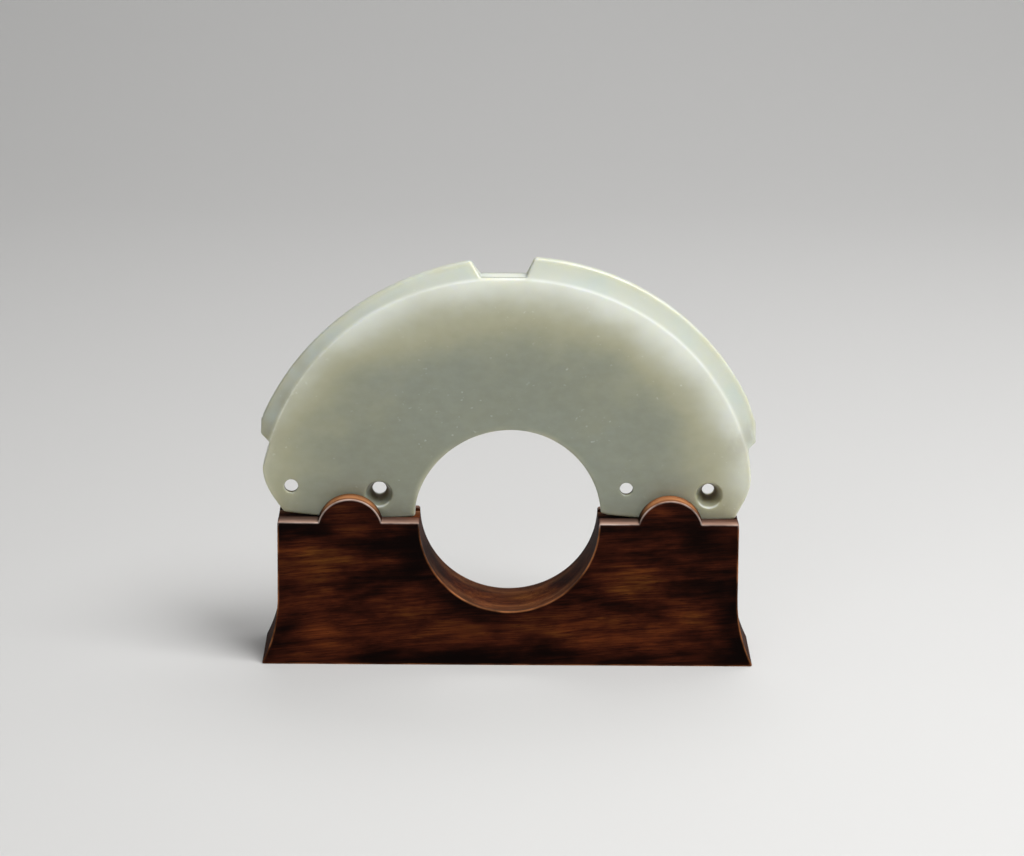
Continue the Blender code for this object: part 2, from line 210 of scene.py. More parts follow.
def plateTree():
    # lifts a flat plan to a solid: the faces stand at half the thickness,
    # less the edge's rounding and the drilled cuts
    backSeed, weldDistance = 7.3, 1e-7
    tree = bpy.data.node_groups.new("liftPlate", "GeometryNodeTree")
    inputs = {"Geometry": "Geometry", "Middle": "Float", "Wave Height": "Float", "Wave Size": "Float"}
    inputs |= {"Seed": "Float", "Material": "Material"}
    given, result = withSockets(tree, inputs, {"Geometry": "Geometry"})

    def value(label):
        node = put(tree, "GeometryNodeInputNamedAttribute", {"Name": label}, data_type="FLOAT")
        return node.outputs["Attribute"]

    def wave(offset):
        # a slight hand-worked waviness, different on the two faces
        sockets = {
            "Vector": tree.nodes.new("GeometryNodeInputPosition").outputs[0],
            "Scale": maths(tree, "DIVIDE", 1.0, given["Wave Size"]),
            "W": maths(tree, "ADD", given["Seed"], offset),
            "Detail": 1.5,
        }
        noise = put(tree, "ShaderNodeTexNoise", sockets, noise_dimensions="4D")
        return maths(tree, "MULTIPLY", maths(tree, "SUBTRACT", noise.outputs[0], 0.5), given["Wave Height"])

    def faceHalf(offset, cut):
        return maths(tree, "SUBTRACT", maths(tree, "ADD", half, wave(offset)), value(cut))

    missing = maths(tree, "SUBTRACT", 1.0, maths(tree, "MINIMUM", value("edgeShare"), 1.0))
    rounded = maths(tree, "SQRT", maths(tree, "SUBTRACT", 1.0, maths(tree, "MULTIPLY", missing, missing)))
    drop = maths(tree, "MULTIPLY", maths(tree, "SUBTRACT", 1.0, rounded), value("edgeRound"))
    half = maths(tree, "SUBTRACT", value("half"), drop)
    frontY = maths(tree, "SUBTRACT", given["Middle"], faceHalf(0.0, "cutFront"))
    backY = maths(tree, "ADD", given["Middle"], faceHalf(backSeed, "cutBack"))

    def moved(source, y, cut):
        stored = put(
            tree,
            "GeometryNodeStoreNamedAttribute",
            {"Geometry": source, "Name": "ownCut", "Value": cut},
            data_type="FLOAT",
            domain="POINT",
        )
        sockets = {"Geometry": stored.outputs[0]}
        sockets["Offset"] = put(tree, "ShaderNodeCombineXYZ", {"Y": y}).outputs[0]
        return put(tree, "GeometryNodeSetPosition", sockets).outputs[0]

    extrude = put(
        tree,
        "GeometryNodeExtrudeMesh",
        {"Mesh": given["Geometry"], "Offset Scale": 0.0, "Individual": False},
        mode="FACES",
    )
    capture = tree.nodes.new("GeometryNodeCaptureAttribute")
    capture.domain = "POINT"
    capture.capture_items.new("BOOLEAN", "Front")
    tree.links.new(extrude.outputs["Mesh"], capture.inputs["Geometry"])
    tree.links.new(extrude.outputs["Top"], capture.inputs["Front"])

    def bySide(back, front):
        sockets = {"Switch": capture.outputs["Front"], "False": back, "True": front}
        return put(tree, "GeometryNodeSwitch", sockets, input_type="FLOAT").outputs[0]

    ownCut = bySide(value("cutBack"), value("cutFront"))
    front = moved(capture.outputs["Geometry"], bySide(backY, frontY), ownCut)
    flip = put(tree, "GeometryNodeFlipFaces", {"Mesh": given["Geometry"]})
    back = moved(flip.outputs[0], backY, value("cutBack"))
    join = tree.nodes.new("GeometryNodeJoinGeometry")
    tree.links.new(back, join.inputs[0])
    tree.links.new(front, join.inputs[0])
    welded = {"Geometry": join.outputs[0], "Distance": weldDistance}
    merge = put(tree, "GeometryNodeMergeByDistance", welded)
    realize = put(tree, "GeometryNodeRealizeInstances", {0: merge.outputs[0]})
    painted = {"Geometry": realize.outputs[0], "Material": given["Material"]}
    paint = put(tree, "GeometryNodeSetMaterial", painted)
    tree.links.new(paint.outputs[0], result["Geometry"])
    return tree


def oneFinish(mesh):
    # keeps the one material that the mesh has, on all its faces
    finish = [material for material in mesh.materials if material][0]
    mesh.materials.clear()
    mesh.materials.append(finish)
    mesh.polygons.foreach_set("material_index", np.zeros(len(mesh.polygons), np.int32))
    return mesh


def liftedPlate(name, plan, tree, inputs):
    source = bpy.data.objects.new(name + "Plan", plan)
    bpy.context.scene.collection.objects.link(source)
    modifier = source.modifiers.new("lift", "NODES")
    modifier.node_group = tree
    named = {item.name: item.identifier for item in tree.interface.items_tree if item.in_out == "INPUT"}
    for label, number in inputs.items():
        modifier[named[label]] = number
    graph = bpy.context.evaluated_depsgraph_get()
    mesh = oneFinish(bpy.data.meshes.new_from_object(source.evaluated_get(graph)))
    bpy.data.objects.remove(source)
    mesh.name = name
    mesh.shade_smooth()
    piece = bpy.data.objects.new(name, mesh)
    bpy.context.scene.collection.objects.link(piece)
    return piece


# in millimetres and degrees; a series gives a radius by the angle round the centre,
# with one term for the cosine of 0, 1, 2, 3 and 4 times that angle
jade = {
    "centre": (0.1, 34.9),
    "ridgeSeries": (60.07, -0.58, 0.46, 0.05, -0.30),
    "rimSeries": (64.38, 0.23, 0.17, -0.44),
    "innerSeries": (22.28, -0.05, 0.25, -0.15, 0.06),
    "half": 3.45,
    "bulge": 0.25,
    "bulgeFrom": 39,
    "bulgeRise": 30,
    "ridgeHalf": 3.15,
    "rimHalf": 1.1,
    "roll": 13.0,
    "bevelHollow": 0.22,
    "bevelAngles": (8, 172),
    "ridgeRound": 0.14,
    "ridgeFade": 0.3,
    "edgeRound": 0.45,
    "holeRound": 0.2,
    "lip": 1.8,
    "mouthRadius": 3.2,
    "mouthRound": 0.3,
    "paleAndLitReach": 10.0,
    "paleAndLitFall": 1.2,
    "runRadius": 62,
    "spacing": 0.8,
    "fillCentre": (0, 34.7),
    "fillAngles": (-14, 194),
    "fillFrom": 1.25,
    "waveHeight": 0.08,
    "waveSize": 14,
}
# each hole's place, its bore radius, and whether its funnel opens to the front
holes = [
    (-52.62, 42.57, 1.68, False),
    (-31.38, 40.65, 1.72, True),
    (28.56, 42.3, 1.6, False),
    (48.7, 40.8, 1.48, True),
]
# brown staining: its place, its reach and its strength
stains = [
    (59, 54, 5.5, 0.30),
    (-59, 55, 4.5, 0.18),
    (-56, 37, 5, 0.15),
    (55.5, 36, 5, 0.18),
    (-24, 36, 4, 0.12),
]
# how pale the jade's outer part is, by the angle in degrees; less so on the left, which is partly painted
# light falling from the upper right
paleAndLitByAngle = {0: 0.80, 30: 0.92, 60: 1.0, 95: 1.0, 125: 0.84, 150: 0.60, 172: 0.48}


def cosineSum(series, angle):
    return sum(term * np.cos(order * angle) for order, term in enumerate(series))


def ridgeRadius(angle):
    # the ridge isn't a true circle: it nears the rim towards both feet
    return cosineSum(jade["ridgeSeries"], angle)


def rimRadius(angle):
    return cosineSum(jade["rimSeries"], angle)


def innerRadius(angle):
    return cosineSum(jade["innerSeries"], angle)


def polarRun(radiusAt, first, last, step=0.35):
    # angles in degrees
    count = max(2, math.ceil(abs(math.radians(last - first)) * jade["runRadius"] / step))
    angles = np.radians(np.linspace(first, last, count + 1))
    return jade["centre"] + radiusAt(angles)[:, None] * np.stack([np.cos(angles), np.sin(angles)], 1)


def polarOf(points):
    offset = points - np.array(jade["centre"])
    return np.hypot(offset[:, 0], offset[:, 1]), np.arctan2(offset[:, 1], offset[:, 0])


def angleOn(point):
    return math.degrees(math.atan2(point[1] - jade["centre"][1], point[0] - jade["centre"][0]))


def jadeOutline():
    # the feet end in shallow arcs; each run has the rounding of the corner at its end
    rightFoot = arcRun((45, 234.6), 200, -96.35, -87.1)
    leftFoot = arcRun((-34, 175.6), 141, -98.3, -85.35)
    rightRoot, rightTip, rightTop = (57.95, 52.25), (59.8, 53.85), (59.65, 58.6)
    leftRoot, leftTip, leftTop = (-57.75, 53.35), (-59.95, 55.15), (-59.8, 59.4)
    rightShoulder = polarRun(ridgeRadius, 11.5, 16.2)
    leftShoulder = polarRun(ridgeRadius, 162.3, 167.6)
    notchRight = polarRun(rimRadius, 27.2, 84.9)
    notchLeft = polarRun(rimRadius, 98.6, angleOn(leftTop))
    rightFloor, leftFloor = (3.9, 94.6), (-7.15, 94.6)
    inner = polarRun(innerRadius, 179.3, 3.1)
    return joinedOutline(
        [
            (rightFoot, 1.2),
            (bowedRun(rightFoot[-1], rightShoulder[0], 1.05, 0.62), 0),
            (lineRun(rightShoulder[0], rightRoot), 0.4),
            (lineRun(rightRoot, rightTip), 1.0),
            (lineRun(rightTip, rightTop), 1.5),
            (lineRun(rightTop, notchRight[0]), 3.0),
            (notchRight, 0.9),
            (lineRun(notchRight[-1], rightFloor), 0.35),
            (lineRun(rightFloor, leftFloor), 0.35),
            (lineRun(leftFloor, notchLeft[0]), 0.9),
            (notchLeft, 3.0),
            (lineRun(leftTop, leftTip), 1.0),
            (lineRun(leftTip, leftRoot), 0.4),
            (lineRun(leftRoot, leftShoulder[-1]), 0),
            (bowedRun(leftShoulder[-1], leftFoot[0], 1.35, 0.40), 0.6),
            (leftFoot, 0.8),
            (inner, 0.8),
        ]
    )


def jadeHalf(points):
    # half the thickness: flat in the middle, rolling to the ridge, then a hollow bevel out to the thin rim
    radius, angle = polarOf(points)
    angle = np.clip(angle, *np.radians(jade["bevelAngles"]))
    ridge, rim = ridgeRadius(angle), rimRadius(angle)
    height = np.clip((points[:, 1] - jade["bulgeFrom"]) / jade["bulgeRise"], 0, 1)
    flat = jade["half"] + jade["bulge"] * height
    roll = np.clip((radius - ridge + jade["roll"]) / jade["roll"], 0, 1)
    body = flat - (flat - jade["ridgeHalf"]) * roll**2
    share = (radius - ridge) / (rim - ridge)
    bevel = jade["ridgeHalf"] + (jade["rimHalf"] - jade["ridgeHalf"]) * share
    bevel = bevel - 4 * jade["bevelHollow"] * share * np.clip(1 - share, 0, 1)
    # the ridge itself is worn to a narrow round
    gap = body - bevel
    smaller = body - 0.5 * (gap + np.sqrt(gap**2 + jade["ridgeRound"] ** 2))
    return smaller + 0.5 * jade["ridgeRound"] * np.exp(-np.abs(gap) / jade["ridgeFade"])


def paleAndLitShare(points):
    # the jade pales from its grey-green middle to the ridge, partly its own tone and partly painted light
    # on the roll to the ridge
    radius, angle = polarOf(points)
    inside = np.clip(ridgeRadius(angle) - radius, 0, None)
    share = np.exp(-((inside / jade["paleAndLitReach"]) ** jade["paleAndLitFall"]))
    return share * np.interp(np.degrees(angle), list(paleAndLitByAngle), list(paleAndLitByAngle.values()))


def funnelCut(points, hole):
    # how deep a hole's funnel cuts in from its face, with a smoothed mouth
    x, z, bore, _ = hole
    depth = 2 * jade["half"] - jade["lip"]
    away = np.hypot(points[:, 0] - x, points[:, 1] - z)
    slope = depth / (jade["mouthRadius"] - bore)
    below = slope * (jade["mouthRadius"] - away)
    smooth = jade["mouthRound"] * slope / 2
    return np.clip(0.5 * (below + np.sqrt(below**2 + smooth**2)), 0, depth)


def jadePlan():
    outline = jadeOutline()
    holeLoops = [arcRun((x, z), bore, 0, 360, 0.2)[:-1] for x, z, bore, _ in holes]
    # rows of points that follow each rounding, each funnel's mouth and the ridge
    rows = insetRows(outline, jade["edgeRound"] * (1 - np.cos(np.radians([14, 28, 42, 56, 72, 90]))))
    rows += insetRows(outline, [0.75, 1.2])
    mouthOffsets = (-0.22, -0.12, -0.04, 0.04, 0.12, 0.22, 0.35, 0.55, 0.9)
    for x, z, bore, _ in holes:
        steps = list(bore + jade["holeRound"] * (1 - np.cos(np.radians([25, 50, 75, 100]))))
        steps += list(np.linspace(bore + 0.35, jade["mouthRadius"] - 0.35, 5))
        steps += [jade["mouthRadius"] + offset for offset in mouthOffsets]
        rows += [arcRun((x, z), radius, 0, 360, 0.22)[:-1] for radius in steps]
    closeOffsets = (0.07, 0.16, 0.3, 0.5, 0.8, 1.2, 1.8)
    for offset in (*(-offset for offset in reversed(closeOffsets)), 0, *closeOffsets, 2.4, 3.0, 3.6):
        rows.append(polarRun(lambda angle: ridgeRadius(angle) + offset, -2, 182, 0.6))
    special = np.concatenate(rows)
    # the rest is filled with arcs at an even spacing
    filling = []
    for radius in np.arange(jade["innerSeries"][0] - 1, jade["ridgeSeries"][0], jade["spacing"]):
        filling.append(arcRun(jade["fillCentre"], radius, *jade["fillAngles"], jade["spacing"])[:-1])
    filling = np.concatenate(filling)
    loops = [outline] + holeLoops
    special = special[isInside(special, outline)]
    special = special[distanceTo(special, [outline]) > 0.012]
    filling = filling[isInside(filling, outline)]
    filling = filling[distanceTo(filling, loops) > jade["fillFrom"]]
    filling = filling[gapToPoints(filling, special) > 0.55 * jade["spacing"]]
    points = np.concatenate([special, filling])
    for x, z, bore, _ in holes:
        points = points[np.hypot(points[:, 0] - x, points[:, 1] - z) > bore + 0.004]

    def stainAt(place, stain):
        x, z, reach, strength = stain
        return strength * np.exp(-np.sum((place - (x, z)) ** 2, 1) / reach**2)

    def attributes(place):
        outer, inner = distanceTo(place, [outline]), distanceTo(place, holeLoops)
        nearHole = inner < outer
        return {
            "half": jadeHalf(place) * mm,
            "edgeRound": np.where(nearHole, jade["holeRound"], jade["edgeRound"]) * mm,
            "edgeShare": np.where(nearHole, inner / jade["holeRound"], outer / jade["edgeRound"]),
            "cutFront": np.sum([funnelCut(place, hole) for hole in holes if hole[3]], axis=0) * mm,
            "cutBack": np.sum([funnelCut(place, hole) for hole in holes if not hole[3]], axis=0) * mm,
            "rimGap": outer,
            "pale": paleAndLitShare(place),
            "fromRidge": polarOf(place)[0] - ridgeRadius(polarOf(place)[1]),
            "stain": np.sum([stainAt(place, stain) for stain in stains], axis=0),
        }

    return planMesh("jadePlan", outline, holeLoops, points, attributes)


def gapToPoints(points, others, cell=1.0):
    # distance to the nearest of the other points, looked for in neighbouring cells only
    table = {}
    for index, key in enumerate(map(tuple, np.floor(others / cell).astype(int))):
        table.setdefault(key, []).append(index)
    gaps = np.full(len(points), cell)
    for index, (point, key) in enumerate(zip(points, np.floor(points / cell).astype(int))):
        cells = [(key[0] + dx, key[1] + dz) for dx in (-1, 0, 1) for dz in (-1, 0, 1)]
        near = [i for place in cells for i in table.get(place, ())]
        if near:
            gaps[index] = min(cell, np.sqrt(((others[near] - point) ** 2).sum(1)).min())
    return gaps


# in millimetres
stand = {
    "height": 35.0,
    "halfTop": 55.8,
    "flare": 3.95,
    "flareHeight": 16.5,
    "halfTopDepth": 7.35,
    "spread": 3.6,
    "hollow": 0.35,
    "cutCentre": (0.2, 34.9),
    "cutRadius": 21.7,
    "lugRadius": 7.95,
    "edgeRound": 0.35,
    "grooveGap": 0.3,
    "sharpAngle": 40,
    "spacing": 1.1,
    "fillFrom": 1.3,
    "waveHeight": 0.03,
    "waveSize": 20,
}
# each lug's place along the stand and the height of its top
lugs = [(-38.3, 40.85), (39.2, 40.85)]


def lugRun(x, top):
    centre = (x, top - stand["lugRadius"])
    spread = math.degrees(math.acos((stand["height"] - centre[1]) / stand["lugRadius"]))
    return arcRun(centre, stand["lugRadius"], 90 - spread, 90 + spread)


def standOutline():
    reach, rise, half, top = stand["flare"], stand["flareHeight"], stand["halfTop"], stand["height"]
    radius = (rise**2 + reach**2) / (2 * reach)
    sweep = math.degrees(math.asin(rise / radius))
    rightFlare = arcRun((half + radius, rise), radius, 180 + sweep, 180)
    leftFlare = arcRun((-half - radius, rise), radius, 0, -sweep)
    lean = math.degrees(math.asin((top - stand["cutCentre"][1]) / stand["cutRadius"]))
    cutOut = arcRun(stand["cutCentre"], stand["cutRadius"], lean, -180 - lean)
    right, left = lugRun(*lugs[1]), lugRun(*lugs[0])
    return joinedOutline(
        [
            (lineRun((-half - reach, 0), (half + reach, 0)), 0.35),
            (rightFlare, 0),
            (lineRun(rightFlare[-1], (half, top)), 0.5),
            (lineRun((half, top), right[0]), 0.15),
            (right, 0.15),
            (lineRun(right[-1], cutOut[0]), 0.6),
            (cutOut, 0.6),
            (lineRun(cutOut[-1], left[0]), 0.15),
            (left, 0.15),
            (lineRun(left[-1], (-half, top)), 0.5),
            (lineRun((-half, top), leftFlare[0]), 0),
            (leftFlare, 0.35),
        ]
    )


def standHalf(points):
    share = np.clip(1 - points[:, 1] / stand["height"], 0, 1)
    return stand["halfTopDepth"] + stand["spread"] * share - 4 * stand["hollow"] * share * (1 - share)


def standPlan():
    outline = standOutline()
    rows = insetRows(outline, stand["edgeRound"] * (1 - np.cos(np.radians([15, 30, 45, 60, 90]))))
    rows += insetRows(outline, [0.7, 1.2])
    special = np.concatenate(rows)
    special = special[isInside(special, outline)]
    special = special[distanceTo(special, [outline]) > 0.01]
    # a grid that reaches past the outline on every side
    across = np.arange(-60, 60.1, stand["spacing"])
    up = np.arange(0, 42, stand["spacing"])
    filling = np.stack(np.meshgrid(across, up), -1).reshape(-1, 2)
    filling = filling[isInside(filling, outline)]
    filling = filling[distanceTo(filling, [outline]) > stand["fillFrom"]]
    filling = filling[gapToPoints(filling, special) > 0.5 * stand["spacing"]]

    def attributes(place):
        outer = distanceTo(place, [outline])
        zero = np.zeros(len(place))
        return {
            "half": standHalf(place) * mm,
            "edgeRound": zero + stand["edgeRound"] * mm,
            "edgeShare": outer / stand["edgeRound"],
            "cutFront": zero,
            "cutBack": zero,
            "rimGap": outer,
        }

    return planMesh("standPlan", outline, [], np.concatenate([special, filling]), attributes)


def cutGroove(piece):
    # the groove runs from end to end; its faces stand a little off the jade
    gap, past = stand["grooveGap"] * mm, 10 * mm
    low = Vector((standLow.x - past, jadeLow.y - gap, jadeLow.z - gap))
    high = Vector((standHigh.x + past, jadeHigh.y + gap, standHigh.z + past))
    work = bmesh.new()
    bmesh.ops.create_cube(work, size=1)
    for vertex in work.verts:
        vertex.co = Vector(((low[i] + high[i]) / 2 + vertex.co[i] * (high[i] - low[i]) for i in range(3)))
    mesh = bpy.data.meshes.new("grooveTool")
    work.to_mesh(mesh)
    work.free()
    tool = bpy.data.objects.new("grooveTool", mesh)
    bpy.context.scene.collection.objects.link(tool)
    modifier = piece.modifiers.new("groove", "BOOLEAN")
    modifier.operation = "DIFFERENCE"
    modifier.solver = "EXACT"
    modifier.object = tool
    graph = bpy.context.evaluated_depsgraph_get()
    cut = bpy.data.meshes.new_from_object(piece.evaluated_get(graph))
    piece.modifiers.clear()
    piece.data = oneFinish(cut)
    bpy.data.objects.remove(tool)
    cut.set_sharp_from_angle(angle=math.radians(stand["sharpAngle"]))
    # the cut doesn't carry these values to its new points
    place = np.array([(vertex.co.x / mm, vertex.co.z / mm) for vertex in cut.vertices])
    values = {"half": standHalf(place) * mm, "rimGap": distanceTo(place, [standOutline()])}
    for label, numbers in values.items():
        cut.attributes[label].data.foreach_set("value", numbers.astype(np.float32))
    return piece


def mixed(tree, share, first, second):
    sockets = {0: share, 6: colourOf(first), 7: colourOf(second)}
    return put(tree, "ShaderNodeMix", sockets, data_type="RGBA").outputs[2]


def colourOf(source):
    return source if isinstance(source, bpy.types.NodeSocket) else (*source, 1)


def ramp(tree, value, low, high, start=0.0, end=1.0):
    sockets = {"Value": value, "From Min": low, "From Max": high, "To Min": start, "To Max": end}
    return put(tree, "ShaderNodeMapRange", sockets, interpolation_type="SMOOTHSTEP").outputs[0]


def attributeOf(tree, name):
    return put(tree, "ShaderNodeAttribute", attribute_name=name).outputs["Fac"]


def partOf(tree, source, part):
    return put(tree, "ShaderNodeSeparateXYZ", {0: source}).outputs[part]


def makeCloudGroup():
    # soft patches of a given length, depth and height, as a mask
    tree = bpy.data.node_groups.new("softCloud", "ShaderNodeTree")
    inputs = {"Vector": "Vector", "Size": "Vector"}
    inputs |= {label: "Float" for label in ("Seed", "Detail", "Low", "High")}
    given, result = withSockets(tree, inputs, {"Mask": "Float"})
    scaled = vectorMaths(tree, "DIVIDE", given["Vector"], given["Size"])
    sockets = {"Vector": scaled, "W": given["Seed"], "Detail": given["Detail"]}
    sockets |= {"Scale": 1.0, "Roughness": 0.55}
    noise = put(tree, "ShaderNodeTexNoise", sockets, noise_dimensions="4D").outputs[0]
    tree.links.new(ramp(tree, noise, given["Low"], given["High"]), result["Mask"])
    return tree


def makeEdgeGroup():
    # how near a point is to an outer edge of its plate, on the faces and on the walls between them
    tree = bpy.data.node_groups.new("plateEdge", "ShaderNodeTree")
    inputs = {"Vector": "Vector", "Middle": "Float", "Width": "Float"}
    given, result = withSockets(tree, inputs, {"Mask": "Float", "Gap": "Float"})
    offset = maths(tree, "SUBTRACT", partOf(tree, given["Vector"], "Y"), given["Middle"])
    inward = maths(tree, "SUBTRACT", attributeOf(tree, "half"), maths(tree, "ABSOLUTE", offset))
    gap = maths(tree, "MAXIMUM", attributeOf(tree, "rimGap"), maths(tree, "DIVIDE", inward, mm))
    tree.links.new(ramp(tree, gap, 0.0, given["Width"], 1.0, 0.0), result["Mask"])
    tree.links.new(gap, result["Gap"])
    return tree


def makeHandlingGroup():
    # a polish that old handling has left a little uneven: broad smears and a fine orange-peel
    smears, peel = 45.0, 700.0
    tree = bpy.data.node_groups.new("handling", "ShaderNodeTree")
    inputs = {"Vector": "Vector", "Roughness": "Float", "Spread": "Float", "Seed": "Float"}
    given, result = withSockets(tree, inputs, {"Roughness": "Float", "Height": "Float"})

    def noise(scale, detail):
        sockets = {"Vector": given["Vector"], "W": given["Seed"], "Scale": scale, "Detail": detail}
        return put(tree, "ShaderNodeTexNoise", sockets, noise_dimensions="4D").outputs[0]

    uneven = maths(tree, "MULTIPLY", maths(tree, "SUBTRACT", noise(smears, 1.0), 0.5), given["Spread"])
    tree.links.new(maths(tree, "ADD", given["Roughness"], uneven), result["Roughness"])
    tree.links.new(noise(peel, 2.0), result["Height"])
    return tree


def placed(tree, group, sockets):
    return put(tree, "ShaderNodeGroup", sockets, node_tree=group).outputs


def shortForms(tree, finish, group, place):
    # three tools of one material: its named clouds, its named slopes and a product
    def cloud(name, vector=place):
        size, seed, detail, low, high = finish["clouds"][name]
        extent = tuple(length * mm for length in size)
        sockets = {"Vector": vector, "Size": extent, "Seed": seed}
        sockets |= {"Detail": detail, "Low": low, "High": high}
        return placed(tree, group, sockets)["Mask"]

    def slope(name, value):
        # a slope named for millimetres goes by a value in metres
        low, high, *ends = finish["slopes"][name]
        scale = mm if name.endswith("Mm") else 1
        return ramp(tree, value, low * scale, high * scale, *ends)

    def share(first, second):
        return maths(tree, "MULTIPLY", first, second)

    return cloud, slope, share


def newMaterial(name, fixed):
    # fixed: the shader's values that are the same all over the surface
    material = bpy.data.materials.new(name)
    material.use_nodes = True
    shader = material.node_tree.nodes["Principled BSDF"]
    for socket, number in fixed.items():
        shader.inputs[socket].default_value = number
    return material, material.node_tree, shader.inputs


jadeFinish = {
    "body": (0.290, 0.307, 0.230),
    "cool": (0.298, 0.328, 0.272),
    "warm": (0.455, 0.450, 0.300),
    "pale": (0.84, 0.87, 0.80),
    "flange": (0.66, 0.69, 0.60),
    "flangePaintedShade": (0.43, 0.425, 0.310),
    "flangeCloud": (0.61, 0.68, 0.63),
    "notch": (0.20, 0.21, 0.165),
    "fleckAndHighlight": (0.86, 0.90, 0.86),
    "stain": (0.185, 0.135, 0.060),
    "deepStainAndShade": (0.105, 0.070, 0.028),
    "edge": (0.60, 0.59, 0.43),
    "roughness": 0.34,
    "spread": 0.10,
    "scatter": 0.85,
    "scatterReach": (1.0, 0.92, 0.62),
    "scatterScale": 3.0,
    "edgeWidth": 1.6,
    "bumpHeight": 0.02,
    # size in millimetres, seed, detail, and the noise where the cloud begins and is full
    "clouds": {
        "drift": ((17, 12, 13), 1.0, 3.0, 0.2, 0.8),
        "fine": ((3.2, 2.4, 2.2), 2.0, 4.0, 0.30, 0.70),
        "flecks": ((1.3, 1.2, 1.0), 3.0, 1.0, 0.66, 0.80),
        "gathered": ((16, 10, 9), 4.0, 1.0, 0.42, 0.60),
        "cool": ((26, 20, 20), 5.0, 2.0, 0.38, 0.72),
        "edge": ((9, 6, 7), 6.0, 2.0, 0.3, 0.6),
        "flange": ((13, 12, 9), 7.0, 2.0, 0.42, 0.68),
        "stain": ((3, 3, 5), 8.0, 3.0, 0.32, 0.62),
        "ridge": ((3, 2.5, 2.5), 9.0, 4.0, 0.34, 0.64),
    },
    # where a slope begins and ends, and its values there if not 0 and 1
    "slopes": {
        "warm": (0.02, 0.42),
        "pale": (0.30, 1.05),
        "flange": (0.40, 0.85),
        "pastRidge": (0.1, 0.9),
        "ridge": (0.1, 0.6, 1.0, 0.0),
        "floorFacing": (0.9, 0.995),
        "floorReach": (1.5, 3.0, 1.0, 0.0),
        "stainMm": (1.1, 4.6),
        "deepStainMm": (2.6, 5.5),
        "lipTopMm": (0.03, 0.15),
        "lipFootMm": (0.45, 1.0, 1.0, 0.0),
        "lipFacing": (0.35, 0.7),
    },
    "strength": {
        "drift": 0.22,
        "cool": 0.5,
        "flange": 0.6,
        "fine": 0.045,
        "flecks": 0.40,
        "ridge": 0.35,
        "edge": 0.5,
        "notch": 0.9,
        "stain": 0.93,
        "deepStainAndShade": 0.8,
        "lip": 0.5,
        "stainRoughness": 0.3,
        "fineRelief": 0.2,
        "relief": 0.25,
    },
}


